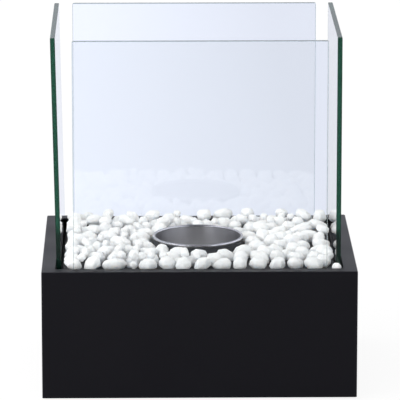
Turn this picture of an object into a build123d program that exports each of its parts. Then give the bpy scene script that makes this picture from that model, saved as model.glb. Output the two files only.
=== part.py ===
from build123d import *
import os
from math import atan2, cos, degrees, hypot, inf, pi, radians, sin, sqrt
from random import Random

# Tabletop bioethanol fireplace: a black steel housing with a sunken deck of pebbles, a burner cup
# in the middle, and four loose glass panes that stand in lined channels round the edge.
# Millimetres, +Z up, front at -Y. The origin is the middle of the footprint, on the ground.

# Housing, folded from one sheet
housing_width = 260.0
housing_depth = 206.0
housing_height = 107.0
housing_sheet = 1.2
housing_corner = 1.6
housing_fold = 1.0
rim_flange = 11.2
floor_flange = 24.0

# Base plate, its screws and the feet
base_sheet = 1.0
base_clearance = 0.5
foot_height = 2.5
foot_diameter = 12.0
foot_draft = 1.0
foot_inset = 17.0
base_screw_inset = 17.0
base_screw_pitch_x = 70.0
base_screw_pitch_y = 56.0

# Screws, of one size
screw_diameter = 3.0
screw_head_diameter = 5.6
screw_head_height = 1.8
screw_head_edge = 0.6
screw_spare = 1.0
screw_clearance = 0.1

# Deck, a shallow tray turned upside down
deck_drop = 5.5
deck_sheet = 1.2
deck_fold = 1.0
deck_edge = 0.5
deck_foot = 10.0
deck_clearance = 0.3

# Glass, and the lined channels that it stands in
glass = 4.0
pane_height = 203.0
pane_corner = 1.5
pane_arris = 0.4
end_pane_margin = 14.3
front_pane_shift = 0.7
back_pane_shift = -1.85
side_pane_front_gap = 15.6
side_pane_back_gap = 1.0
left_pane_lean = 1.15
slot_play = 1.4
slot_inset = 0.6
pane_gap = 0.3
groove_depth = 7.7
gasket_lip = 1.0
gasket_floor = 1.5
gasket_round = 0.4
channel_sheet = 1.0
channel_fold = 0.8
channel_end_gap = 0.3

# Rails on the inside of the housing walls
rail_sheet = 1.5
rail_drop = 14.0
rail_fold = 1.2
end_rail_length = 170.0
side_rail_length = 120.0
end_screw_pitch = 120.0
side_screw_pitch = 80.0

# Burner cup, its collar and its pad
cup_rim_diameter = 76.6
cup_rim_roll = 2.4
cup_rim_turn = 250.0
cup_rim_rise = 6.1
cup_sheet = 0.6
cup_depth = 56.0
cup_floor_radius = 6.0
collar_sheet = 1.2
collar_inset = 0.3
collar_flange = 9.0
collar_clearance = 0.2
cup_seat_gap = 0.3
pad_height = 28.0
pad_clearance = 0.4
pad_foot_edge = 5.0
pad_top_edge = 1.2

# Pebbles
pebble_seed = 3
pebble_length = (16.0, 24.0)
pebble_width = (13.0, 18.5)
pebble_height = (9.2, 13.0)
pebble_tilt = 14.0
pebble_corners = 6
pebble_corner_shift = (-0.15, 0.15)
pebble_corner_reach = (0.84, 1.08)
pebble_levels = (
    (-1.0, (0.45, 0.65)),
    (-0.35, (0.9, 1.0)),
    (0.35, (0.86, 1.0)),
    (1.0, (0.4, 0.68)),
)
pebble_skew = (-0.2, 0.2)
pebble_pitch = 14.8
pebble_gap = 0.3
pebble_border = 0.4
pebble_cup_gap = 0.7
bare_cup_gap = 7.0
bare_start = -105.0
bare_end = -20.0
ring_pebbles = 17
pebble_jitter = (-3.0, 3.0)
pebble_tries = 14
pebble_choices = 4
heap_front_height = 13.5
heap_back_height = 18.5
top_pebbles = 190
top_pebble_share = (0.72, 1.0)
top_pebble_tilt = 30.0
top_pebble_tries = 45
corner_pebble = (10.0, 9.5, 8.5)
corner_pebble_gap = 0.8
contact_directions = 480

# Heights above the ground
base_z = foot_height + housing_sheet
rim_z = foot_height + housing_height
deck_z = rim_z - deck_drop
gasket_floor_z = deck_z - groove_depth
channel_floor_z = gasket_floor_z - gasket_floor
rail_z = channel_floor_z - channel_sheet

# Distances out from the middle
rim_x = housing_width / 2 - rim_flange
rim_y = housing_depth / 2 - rim_flange
wall_x = housing_width / 2 - housing_sheet
wall_y = housing_depth / 2 - housing_sheet
slot_width = glass + slot_play
slot_x = rim_x - slot_inset - slot_width / 2
slot_y = rim_y - slot_inset - slot_width / 2
gasket_width = slot_width + 2 * gasket_lip
channel_width = gasket_width + 2 * channel_sheet
deck_x = slot_x - channel_width / 2 - deck_clearance
deck_y = slot_y - channel_width / 2 - deck_clearance

# Panes: the end ones are centred on a shift along X, the side ones stand near the back
end_pane_width = 2 * (rim_x - end_pane_margin)
side_pane_width = 2 * rim_y - side_pane_front_gap - side_pane_back_gap
side_pane_shift = (side_pane_front_gap - side_pane_back_gap) / 2
pane_reach = groove_depth - pane_gap

# Burner cup and collar
cup_rim_radius = cup_rim_diameter / 2
cup_roll_radius = (cup_rim_roll - cup_sheet) / 2
cup_wall_radius = cup_rim_radius - cup_rim_roll + cup_sheet / 2
cup_roll_z = rim_z + cup_rim_rise
cup_floor_z = cup_roll_z - cup_depth
collar_radius = cup_rim_radius - collar_inset
collar_foot_z = deck_z - deck_sheet - collar_sheet
collar_top_z = cup_roll_z - cup_rim_roll / 2 - cup_seat_gap
pad_radius = cup_wall_radius - cup_sheet / 2 - pad_clearance
pad_z = cup_floor_z + cup_sheet + pad_clearance

screw_hole_radius = screw_diameter / 2 + screw_clearance

UP = Vector(0, 0, 1)

# Each side: its name, the way out from the middle and the way along it
sides = (
    ("front", Vector(0, -1, 0), Vector(-1, 0, 0)),
    ("back", Vector(0, 1, 0), Vector(1, 0, 0)),
    ("left", Vector(-1, 0, 0), Vector(0, 1, 0)),
    ("right", Vector(1, 0, 0), Vector(0, -1, 0)),
)
end_sides = ("front", "back")

os.makedirs("parts", exist_ok=True)


def save(solid, name):
    """Labels a finished piece and writes it to its own file."""
    solid.label = name
    export_step(solid, f"parts/{name}.step")


def at_side(side, end_value, side_value):
    """The value that holds at the front and back, or the one that holds at the left and right."""
    return end_value if side in end_sides else side_value


def screws(places, seat_z, grip):
    """Pan-head screws that go up from below through a grip, with their heads against seat_z."""
    with BuildPart() as group:
        with BuildSketch(Plane.XY.offset(seat_z)):
            with Locations(*places):
                Circle(screw_head_diameter / 2)
        extrude(amount=-screw_head_height)
        chamfer(group.faces().group_by(Axis.Z)[0].edges(), screw_head_edge)
        with BuildSketch(Plane.XY.offset(seat_z)):
            with Locations(*places):
                Circle(screw_diameter / 2)
        extrude(amount=grip + screw_spare)
    return group.part


# ---- Housing ----

base_screw_out_x = housing_width / 2 - base_screw_inset
base_screw_out_y = housing_depth / 2 - base_screw_inset
base_screw_places = [
    (x, y)
    for x in (-base_screw_pitch_x, 0, base_screw_pitch_x)
    for y in (-base_screw_out_y, base_screw_out_y)
] + [
    (x, y)
    for x in (-base_screw_out_x, base_screw_out_x)
    for y in (-base_screw_pitch_y / 2, base_screw_pitch_y / 2)
]

with BuildPart() as housing:
    with BuildSketch(Plane.XY.offset(foot_height)):
        RectangleRounded(housing_width, housing_depth, housing_corner)
    extrude(amount=housing_height)
    fillet(housing.faces().sort_by(Axis.Z)[-1].edges(), housing_fold)
    with BuildSketch(Plane.XY.offset(base_z)):
        Rectangle(2 * wall_x, 2 * wall_y)
    extrude(amount=housing_height - 2 * housing_sheet, mode=Mode.SUBTRACT)
    with BuildSketch(Plane.XY.offset(rim_z)):
        Rectangle(2 * rim_x, 2 * rim_y)
    extrude(amount=-housing_sheet, mode=Mode.SUBTRACT)
    with BuildSketch(Plane.XY.offset(foot_height)):
        Rectangle(housing_width - 2 * floor_flange, housing_depth - 2 * floor_flange)
        with Locations(*base_screw_places):
            Circle(screw_hole_radius)
    extrude(amount=housing_sheet, mode=Mode.SUBTRACT)
save(housing.part, "housing")

# ---- Base plate, its screws and the feet ----

with BuildPart() as base_plate:
    with BuildSketch(Plane.XY.offset(base_z)):
        Rectangle(2 * (wall_x - base_clearance), 2 * (wall_y - base_clearance))
        with Locations(*base_screw_places):
            Circle(screw_hole_radius, mode=Mode.SUBTRACT)
    extrude(amount=base_sheet)
save(base_plate.part, "base_plate")
save(screws(base_screw_places, foot_height, housing_sheet + base_sheet), "base_screws")

foot_out_x = housing_width / 2 - foot_inset
foot_out_y = housing_depth / 2 - foot_inset
for foot_name, foot_x, foot_y in (
    ("foot_front_left", -foot_out_x, -foot_out_y),
    ("foot_front_right", foot_out_x, -foot_out_y),
    ("foot_back_left", -foot_out_x, foot_out_y),
    ("foot_back_right", foot_out_x, foot_out_y),
):
    with BuildPart() as foot:
        with BuildSketch(Plane.XY):
            with Locations((foot_x, foot_y)):
                Circle(foot_diameter / 2 - foot_draft)
        with BuildSketch(Plane.XY.offset(foot_height)):
            with Locations((foot_x, foot_y)):
                Circle(foot_diameter / 2)
        loft()
    save(foot.part, foot_name)

# ---- Rails, glass channels and gaskets, one of each to a side ----

deck_screw_places = []
for side, outward, along in sides:
    # In this plane X is the distance out from the middle and Y is the height
    section = Plane(origin=(0, 0, 0), x_dir=outward, z_dir=along)
    wall_out = at_side(side, wall_y, wall_x)
    deck_out = at_side(side, deck_y, deck_x)
    slot_out = at_side(side, slot_y, slot_x)
    rail_length = at_side(side, end_rail_length, side_rail_length)
    screw_pitch = at_side(side, end_screw_pitch, side_screw_pitch)
    channel_length = at_side(side, 2 * deck_x, 2 * (wall_y - channel_end_gap))
    screw_centre = outward * (deck_out - deck_foot / 2)
    side_screws = [screw_centre + along * shift for shift in (-screw_pitch / 2, screw_pitch / 2)]
    side_screw_places = [(place.X, place.Y) for place in side_screws]
    deck_screw_places += side_screw_places

    with BuildPart() as rail:
        with BuildSketch(section) as rail_section:
            with Locations((wall_out, rail_z)):
                Rectangle(
                    wall_out - deck_out + deck_foot, rail_sheet, align=(Align.MAX, Align.MAX)
                )
                Rectangle(rail_sheet, rail_drop, align=(Align.MAX, Align.MAX))
            fillet(rail_section.vertices().sort_by_distance((wall_out, rail_z))[0], rail_fold)
        extrude(amount=rail_length / 2, both=True)
        with BuildSketch(Plane.XY.offset(rail_z)):
            with Locations(*side_screw_places):
                Circle(screw_hole_radius)
        extrude(amount=-rail_sheet, mode=Mode.SUBTRACT)
    save(rail.part, f"support_rail_{side}")

    with BuildPart() as channel:
        with BuildSketch(section) as channel_section:
            with Locations((slot_out, rail_z)):
                Rectangle(channel_width, deck_z - rail_z, align=(Align.CENTER, Align.MIN))
            fillet(channel_section.vertices().group_by(Axis.Y)[0], channel_fold)
            with Locations((slot_out, channel_floor_z)):
                Rectangle(
                    gasket_width,
                    deck_z - channel_floor_z,
                    align=(Align.CENTER, Align.MIN),
                    mode=Mode.SUBTRACT,
                )
        extrude(amount=channel_length / 2, both=True)
    save(channel.part, f"glass_channel_{side}")

    with BuildPart() as gasket:
        with BuildSketch(section) as gasket_section:
            with Locations((slot_out, channel_floor_z)):
                Rectangle(gasket_width, deck_z - channel_floor_z, align=(Align.CENTER, Align.MIN))
            with Locations((slot_out, gasket_floor_z)):
                Rectangle(
                    slot_width,
                    deck_z - gasket_floor_z,
                    align=(Align.CENTER, Align.MIN),
                    mode=Mode.SUBTRACT,
                )
            fillet(gasket_section.vertices().group_by(Axis.Y)[-1], gasket_round)
        extrude(amount=channel_length / 2, both=True)
    save(gasket.part, f"glass_gasket_{side}")

# ---- Deck and its screws ----

with BuildPart() as deck:
    with BuildSketch(Plane.XY.offset(rail_z)):
        RectangleRounded(2 * deck_x, 2 * deck_y, deck_fold)
    extrude(amount=deck_z - rail_z)
    fillet(deck.faces().sort_by(Axis.Z)[-1].edges(), deck_edge)
    with BuildSketch(Plane.XY.offset(rail_z + deck_sheet)):
        Rectangle(2 * (deck_x - deck_sheet), 2 * (deck_y - deck_sheet))
    extrude(amount=deck_z - rail_z - 2 * deck_sheet, mode=Mode.SUBTRACT)
    with BuildSketch(Plane.XY.offset(rail_z)):
        Rectangle(2 * (deck_x - deck_foot), 2 * (deck_y - deck_foot))
        with Locations(*deck_screw_places):
            Circle(screw_hole_radius)
    extrude(amount=deck_sheet, mode=Mode.SUBTRACT)
    with BuildSketch(Plane.XY.offset(deck_z)):
        Circle(collar_radius + collar_clearance)
    extrude(amount=-deck_sheet, mode=Mode.SUBTRACT)
save(deck.part, "deck")
save(screws(deck_screw_places, rail_z - rail_sheet, rail_sheet + deck_sheet), "deck_screws")

# ---- Burner collar, cup and pad ----

with BuildPart() as burner_collar:
    with BuildSketch(Plane.XZ):
        with Locations((collar_radius, collar_foot_z)):
            Rectangle(
                collar_sheet, collar_top_z - collar_foot_z, align=(Align.MAX, Align.MIN)
            )
        with Locations((collar_radius - collar_sheet, collar_foot_z)):
            Rectangle(
                collar_flange + collar_sheet, collar_sheet, align=(Align.MIN, Align.MIN)
            )
    revolve(axis=Axis.Z)
save(burner_collar.part, "burner_collar")

with BuildPart() as burner_cup:
    with BuildSketch(Plane.XZ):
        with BuildLine():
            floor_line = Line(
                (0, cup_floor_z + cup_sheet / 2),
                (cup_wall_radius - cup_floor_radius, cup_floor_z + cup_sheet / 2),
            )
            floor_bend = JernArc(floor_line @ 1, floor_line % 1, cup_floor_radius, 90)
            wall_line = Line(floor_bend @ 1, (cup_wall_radius, cup_roll_z))
            JernArc(wall_line @ 1, wall_line % 1, cup_roll_radius, -cup_rim_turn)
        trace(line_width=cup_sheet)
    revolve(axis=Axis.Z)
save(burner_cup.part, "burner_cup")

with BuildPart() as absorbent_pad:
    with BuildSketch(Plane.XY.offset(pad_z)):
        Circle(pad_radius)
    extrude(amount=pad_height)
    chamfer(absorbent_pad.faces().sort_by(Axis.Z)[0].edges(), pad_foot_edge)
    chamfer(absorbent_pad.faces().sort_by(Axis.Z)[-1].edges(), pad_top_edge)
save(absorbent_pad.part, "absorbent_pad")

# ---- Glass panes ----


def glass_pane(outward, along, outer_face, width, shift, lean):
    """A pane whose outer face is outer_face from the middle at deck height, leaning out by lean."""
    up = UP * cos(radians(lean)) + outward * sin(radians(lean))
    normal = outward * cos(radians(lean)) - UP * sin(radians(lean))
    face = Plane(origin=outward * outer_face + UP * deck_z, x_dir=up.cross(normal), z_dir=normal)
    centre = face.to_local_coords(face.origin + shift + up * (pane_height / 2 - pane_reach))
    with BuildPart() as pane:
        with BuildSketch(face):
            with Locations((centre.X, centre.Y)):
                RectangleRounded(width, pane_height, pane_corner)
        extrude(amount=-glass)
        broad_faces = pane.faces().sort_by(SortBy.AREA)[-2:]
        chamfer(broad_faces.edges(), pane_arris)
    return pane.part


# The outer faces of a pane that rests on its slot's outer lip and of one on its inner lip
outer_lip = slot_width / 2 - pane_gap
inner_lip = glass + pane_gap - slot_width / 2
end_shifts = {"front": Vector(front_pane_shift, 0, 0), "back": Vector(back_pane_shift, 0, 0)}
side_shift = Vector(0, side_pane_shift, 0)
for side, outward, along in sides:
    save(
        glass_pane(
            outward,
            along,
            at_side(side, slot_y, slot_x) + (inner_lip if side == "right" else outer_lip),
            at_side(side, end_pane_width, side_pane_width),
            end_shifts.get(side, side_shift),
            left_pane_lean if side == "left" else 0.0,
        ),
        f"glass_pane_{side}",
    )

# ---- Pebbles ----
# Each stone is a convex solid of stacked rings. It is dropped straight down onto the deck or the
# stones under it, at the lowest of a few places that it may take, so that the heap holds itself.

bed_x = slot_x + inner_lip - glass - pebble_border
bed_y = slot_y + outer_lip - glass - pebble_border
golden_turn = pi * (3 - sqrt(5))


def upward_direction(index):
    """One of the directions that are spread evenly over the upper half of a sphere."""
    rise = (index + 0.5) / contact_directions
    spread = sqrt(1 - rise * rise)
    return (spread * cos(index * golden_turn), spread * sin(index * golden_turn), rise)


directions = [upward_direction(index) for index in range(contact_directions)]


def cup_keep_out(x, y):
    """How far from the cup's axis the stones stop, which is further in the bare stretch."""
    bare = bare_start < degrees(atan2(y, x)) < bare_end
    return cup_rim_radius + (bare_cup_gap if bare else pebble_cup_gap)


class Pebble:
    """One stone, about its own middle, with how far it reaches in each direction."""

    def __init__(self, size, tilt, chance):
        length, width, height = size
        outline = [
            (
                2 * pi * (corner + chance.uniform(*pebble_corner_shift)) / pebble_corners,
                chance.uniform(*pebble_corner_reach),
            )
            for corner in range(pebble_corners)
        ]
        skew_x = chance.uniform(*pebble_skew)
        skew_y = chance.uniform(*pebble_skew)
        turn = chance.uniform(0, 360)
        lie = Plane.XY.rotated((chance.uniform(-tilt, tilt), chance.uniform(-tilt, tilt), turn))
        self.rings = []
        for level, shares in pebble_levels:
            share = chance.uniform(*shares)
            ring = [
                (
                    length / 2 * (share * reach * cos(angle) + level * skew_x),
                    width / 2 * (share * reach * sin(angle) + level * skew_y),
                    height / 2 * level,
                )
                for angle, reach in outline
            ]
            self.rings.append([tuple(lie.from_local_coords(corner)) for corner in ring])
        self.corners = [corner for ring in self.rings for corner in ring]
        reaches = [
            [nx * x + ny * y + nz * z for x, y, z in self.corners] for nx, ny, nz in directions
        ]
        self.tops = [max(reach) for reach in reaches]
        self.bottoms = [min(reach) for reach in reaches]
        self.low = min(z for x, y, z in self.corners)
        self.reach_x = max(abs(x) for x, y, z in self.corners)
        self.reach_y = max(abs(y) for x, y, z in self.corners)
        self.reach = max(hypot(x, y) for x, y, z in self.corners)
        self.place = (0.0, 0.0, 0.0)

    def allowed(self, x, y):
        """The nearest place inside the bed and clear of the cup, or None if there isn't one."""
        limit_x = bed_x - self.reach_x
        limit_y = bed_y - self.reach_y
        x = min(max(x, -limit_x), limit_x)
        y = min(max(y, -limit_y), limit_y)
        away = max(hypot(x, y), pebble_gap)
        inward = max(-(x * cx + y * cy) / away for cx, cy, cz in self.corners)
        needed = cup_keep_out(x, y) + inward
        if away < needed:
            x *= needed / away
            y *= needed / away
        if abs(x) > limit_x or abs(y) > limit_y:
            return None
        return x, y

    def rest_height(self, x, y, heap):
        """The height of the stone's middle when it comes down at x, y onto the deck or the heap."""
        height = deck_z + pebble_gap - self.low
        for other in heap:
            ox, oy, oz = other.place
            if hypot(ox - x, oy - y) > self.reach + other.reach + pebble_gap:
                continue
            height = max(
                height,
                min(
                    (top + nx * (ox - x) + ny * (oy - y) + pebble_gap - bottom) / nz + oz
                    for top, bottom, (nx, ny, nz) in zip(other.tops, self.bottoms, directions)
                ),
            )
        return height

    def best_rest(self, places, heap):
        """How far above the deck the stone would stand at the lowest of some places, and where."""
        spots = [self.allowed(x, y) for x, y in places]
        floor = deck_z + pebble_gap - self.low
        rests = [(self.rest_height(*spot, heap) - floor, *spot) for spot in spots if spot]
        return min(rests, default=(inf, 0, 0))

    def solid(self):
        """The stone as a solid of flat faces, where it lies."""
        place = Vector(*self.place)
        rings = [[place + Vector(*corner) for corner in ring] for ring in self.rings]
        outlines = [rings[0], rings[-1]]
        for low, high in zip(rings, rings[1:]):
            for corner in range(pebble_corners):
                outlines.append((low[corner - 1], low[corner], high[corner], high[corner - 1]))
        with BuildPart() as stone:
            add(Solid(Shell([Face(Wire.make_polygon(outline)) for outline in outlines])))
        return stone.part

    def side(self):
        """The side of the bed that the stone lies nearest to."""
        x, y, z = self.place
        if abs(x) / bed_x > abs(y) / bed_y:
            return "left" if x < 0 else "right"
        return "front" if y < 0 else "back"


def random_size(chance, share=1.0):
    """A stone's length, width and height, as a share of a full size."""
    return [
        share * chance.uniform(*limits) for limits in (pebble_length, pebble_width, pebble_height)
    ]


def heap_top(y):
    """How high the stones may reach, which rises evenly from the front of the bed to its back."""
    rise = (heap_back_height - heap_front_height) * (y + bed_y) / (2 * bed_y)
    return deck_z + heap_front_height + rise


def settle(stones, places, heap):
    """Adds to the heap the stone that can lie lowest at one of the places and isn't too high there."""
    rests = []
    for stone in stones:
        rise, x, y = stone.best_rest(places, heap)
        middle = deck_z + pebble_gap - stone.low + rise
        if middle + stone.tops[-1] <= heap_top(y):
            rests.append((rise, (x, y, middle), stone))
    if rests:
        rise, place, stone = min(rests, key=lambda rest: rest[0])
        stone.place = place
        heap.append(stone)


def near(x, y, chance):
    """A few places close to one place."""
    return [
        (x + chance.uniform(*pebble_jitter), y + chance.uniform(*pebble_jitter))
        for _ in range(pebble_tries)
    ]


def pour_pebbles(heap):
    """Fills the bed: a ring of stones round the cup, a staggered grid, and more in its hollows."""
    chance = Random(pebble_seed)
    row_pitch = pebble_pitch * sqrt(3) / 2
    columns = int(2 * bed_x / pebble_pitch) + 1
    rows = int(2 * bed_y / row_pitch) + 1
    places = []
    for turn in range(ring_pebbles):
        angle = 2 * pi * turn / ring_pebbles
        places.append((cup_rim_radius * cos(angle), cup_rim_radius * sin(angle)))
    for row in range(rows):
        y = (row - (rows - 1) / 2) * row_pitch
        stagger = (row % 2 - 0.5) / 2
        for column in range(columns):
            x = (column - (columns - 1) / 2 + stagger) * pebble_pitch
            if hypot(x, y) > cup_rim_radius:
                places.append((x, y))
    for x, y in places:
        stones = [Pebble(random_size(chance), pebble_tilt, chance) for _ in range(pebble_choices)]
        settle(stones, near(x, y, chance), heap)
    for _ in range(top_pebbles):
        size = random_size(chance, chance.uniform(*top_pebble_share))
        top_stone = Pebble(size, top_pebble_tilt, chance)
        places = [
            (chance.uniform(-bed_x, bed_x), chance.uniform(-bed_y, bed_y))
            for _ in range(top_pebble_tries)
        ]
        settle([top_stone], places, heap)


# The small stone in the front right corner lies across the mouth of the right pane's slot
corner_stone = Pebble(corner_pebble, 0.0, Random(pebble_seed))
corner_stone.place = (
    rim_x - corner_pebble_gap - corner_stone.reach_x,
    -(rim_y - corner_pebble_gap - corner_stone.reach_y),
    deck_z + pebble_gap - corner_stone.low,
)
save(corner_stone.solid(), "corner_pebble")

pebble_heap = [corner_stone]
pour_pebbles(pebble_heap)
for side in ("front", "back", "left", "right"):
    side_stones = [stone.solid() for stone in pebble_heap[1:] if stone.side() == side]
    with BuildPart() as pebbles:
        add(side_stones)
    save(pebbles.part, f"pebbles_{side}")

print("pebbles:", len(pebble_heap))
print("highest pebble:", max(stone.place[2] + stone.tops[-1] for stone in pebble_heap))
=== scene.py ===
from math import cos, pi, radians, sin

import bmesh
import bpy
import numpy as np
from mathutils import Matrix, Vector, noise
from mathutils.bvhtree import BVHTree


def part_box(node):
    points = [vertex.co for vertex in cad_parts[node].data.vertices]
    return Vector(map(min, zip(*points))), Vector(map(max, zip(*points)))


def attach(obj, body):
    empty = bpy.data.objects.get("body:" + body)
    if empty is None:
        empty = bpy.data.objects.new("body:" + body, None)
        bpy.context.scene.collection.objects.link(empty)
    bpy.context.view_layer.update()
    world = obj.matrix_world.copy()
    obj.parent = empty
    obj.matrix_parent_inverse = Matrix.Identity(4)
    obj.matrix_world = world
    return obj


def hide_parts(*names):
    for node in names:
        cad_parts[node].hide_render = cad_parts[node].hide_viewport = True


bl_info = {
    "name": "Tabletop bioethanol fireplace",
    "version": (1, 0, 0),
    "blender": (4, 5, 0),
    "location": "3D View > Sidebar > Fireplace",
    "description": "Finishes and studio for a glass-sided tabletop fireplace",
    "category": "Object",
}

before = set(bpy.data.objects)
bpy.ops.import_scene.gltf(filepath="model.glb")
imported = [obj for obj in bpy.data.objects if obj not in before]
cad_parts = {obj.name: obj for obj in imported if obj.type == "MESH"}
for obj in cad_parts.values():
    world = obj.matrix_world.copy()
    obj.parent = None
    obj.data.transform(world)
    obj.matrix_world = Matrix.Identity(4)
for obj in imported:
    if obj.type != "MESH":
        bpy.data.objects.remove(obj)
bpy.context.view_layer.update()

MM = 0.001
SIDES = ("front", "back", "left", "right")
STONES_PER_SIDE = {f"pebbles_{side}": f"tumbled_pebbles_{side}" for side in SIDES}
CORNER_STONE = {"corner_pebble": "tumbled_corner_pebble"}


# ---- Colours and shader nodes ----


def linear(hex_colour):
    """A linear RGBA colour from an sRGB hex value."""
    channels = [int(hex_colour[i : i + 2], 16) / 255 for i in (1, 3, 5)]
    return (*(c / 12.92 if c <= 0.04045 else ((c + 0.055) / 1.055) ** 2.4 for c in channels), 1.0)


WHITE = linear("#ffffff")


def toned(colour, share):
    """A linear colour made darker, or lighter where the share is above one."""
    return (*(share * channel for channel in colour[:3]), 1.0)


def per_metre(size_mm):
    """The scale at which one cell of a pattern is size_mm wide, as object coordinates are in metres."""
    return 1.0 / (size_mm * MM)


def add_node(tree, kind, inputs=(), **settings):
    """Adds a node with its settings. An input that is given a socket is linked to it."""
    node = tree.nodes.new(kind)
    for name, value in settings.items():
        setattr(node, name, value)
    for key, value in dict(inputs).items():
        if isinstance(value, bpy.types.NodeSocket):
            tree.links.new(value, node.inputs[key])
        else:
            node.inputs[key].default_value = value
    return node


def new_material(name):
    """An empty material: its node tree, its output and the place in the row frame that patterns follow."""
    material = bpy.data.materials.new(name)
    material.use_nodes = True
    tree = material.node_tree
    tree.nodes.clear()
    output = add_node(tree, "ShaderNodeOutputMaterial")
    place = add_node(tree, "ShaderNodeTexCoord").outputs["Object"]
    return material, tree, output, place


def dress(names, material):
    """Gives CAD pieces, whose shapes stay as they are, a finish."""
    for name in names:
        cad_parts[name].material_slots[0].material = material


# ---- Materials ----


def powder_coated_steel(name, colour, grain_mm):
    """Mild steel sheet, folded, blasted and electrostatically powder coated, then baked.

    The baked powder flows into a fine orange peel, which breaks up the satin reflections.
    """
    material, tree, output, place = new_material(name)
    peel = add_node(
        tree, "ShaderNodeTexNoise", {"Vector": place, "Scale": per_metre(grain_mm), "Detail": 2.0}
    )
    drift = add_node(tree, "ShaderNodeTexNoise", {"Vector": place, "Scale": per_metre(60.0)})
    sheen = add_node(
        tree,
        "ShaderNodeMapRange",
        {"Value": drift.outputs["Fac"], "From Min": 0.3, "From Max": 0.7, "To Min": 0.42, "To Max": 0.5},
    )
    tone = add_node(
        tree,
        "ShaderNodeMix",
        {"Factor": peel.outputs["Fac"], 6: colour, 7: toned(colour, 1.35)},
        data_type="RGBA",
    )
    relief = add_node(
        tree, "ShaderNodeBump", {"Height": peel.outputs["Fac"], "Strength": 0.25, "Distance": 0.05 * MM}
    )
    coat = add_node(
        tree,
        "ShaderNodeBsdfPrincipled",
        {
            "Base Color": tone.outputs[2],
            "Roughness": sheen.outputs["Result"],
            "Specular IOR Level": 0.22,
            "Normal": relief.outputs["Normal"],
        },
    )
    tree.links.new(coat.outputs["BSDF"], output.inputs["Surface"])
    return material


def galvanised_steel(colour):
    """Hot-dip galvanised strip: zinc crystals a few millimetres wide give it a dull, patchy grey."""
    material, tree, output, place = new_material("galvanised_steel")
    crystals = add_node(tree, "ShaderNodeTexVoronoi", {"Vector": place, "Scale": per_metre(5.0)})
    patches = add_node(
        tree,
        "ShaderNodeMix",
        {"Factor": crystals.outputs["Color"], 6: colour, 7: toned(colour, 0.7)},
        data_type="RGBA",
    )
    dullness = add_node(
        tree, "ShaderNodeMapRange", {"Value": crystals.outputs["Distance"], "To Min": 0.38, "To Max": 0.55}
    )
    zinc = add_node(
        tree,
        "ShaderNodeBsdfPrincipled",
        {"Base Color": patches.outputs[2], "Metallic": 1.0, "Roughness": dullness.outputs["Result"]},
    )
    tree.links.new(zinc.outputs["BSDF"], output.inputs["Surface"])
    return material


def zinc_plated_screw(colour):
    """Carbon steel screws, bright zinc plated: shiny, with a slight haze from the plating bath."""
    material, tree, output, place = new_material("zinc_plated_screw")
    haze = add_node(tree, "ShaderNodeTexNoise", {"Vector": place, "Scale": per_metre(1.5)})
    gloss = add_node(
        tree, "ShaderNodeMapRange", {"Value": haze.outputs["Fac"], "To Min": 0.2, "To Max": 0.42}
    )
    plate = add_node(
        tree,
        "ShaderNodeBsdfPrincipled",
        {"Base Color": colour, "Metallic": 1.0, "Roughness": gloss.outputs["Result"]},
    )
    tree.links.new(plate.outputs["BSDF"], output.inputs["Surface"])
    return material


def moulded_rubber(name, colour, roughness):
    """Carbon-black rubber, moulded or extruded: matt, with the fine grain of the tool's surface."""
    material, tree, output, place = new_material(name)
    grain = add_node(tree, "ShaderNodeTexNoise", {"Vector": place, "Scale": per_metre(0.4), "Detail": 3.0})
    tone = add_node(
        tree,
        "ShaderNodeMix",
        {"Factor": grain.outputs["Fac"], 6: colour, 7: toned(colour, 1.6)},
        data_type="RGBA",
    )
    relief = add_node(
        tree, "ShaderNodeBump", {"Height": grain.outputs["Fac"], "Strength": 0.3, "Distance": 0.04 * MM}
    )
    rubber = add_node(
        tree,
        "ShaderNodeBsdfPrincipled",
        {
            "Base Color": tone.outputs[2],
            "Roughness": roughness,
            "Specular IOR Level": 0.3,
            "Normal": relief.outputs["Normal"],
        },
    )
    tree.links.new(rubber.outputs["BSDF"], output.inputs["Surface"])
    return material


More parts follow.
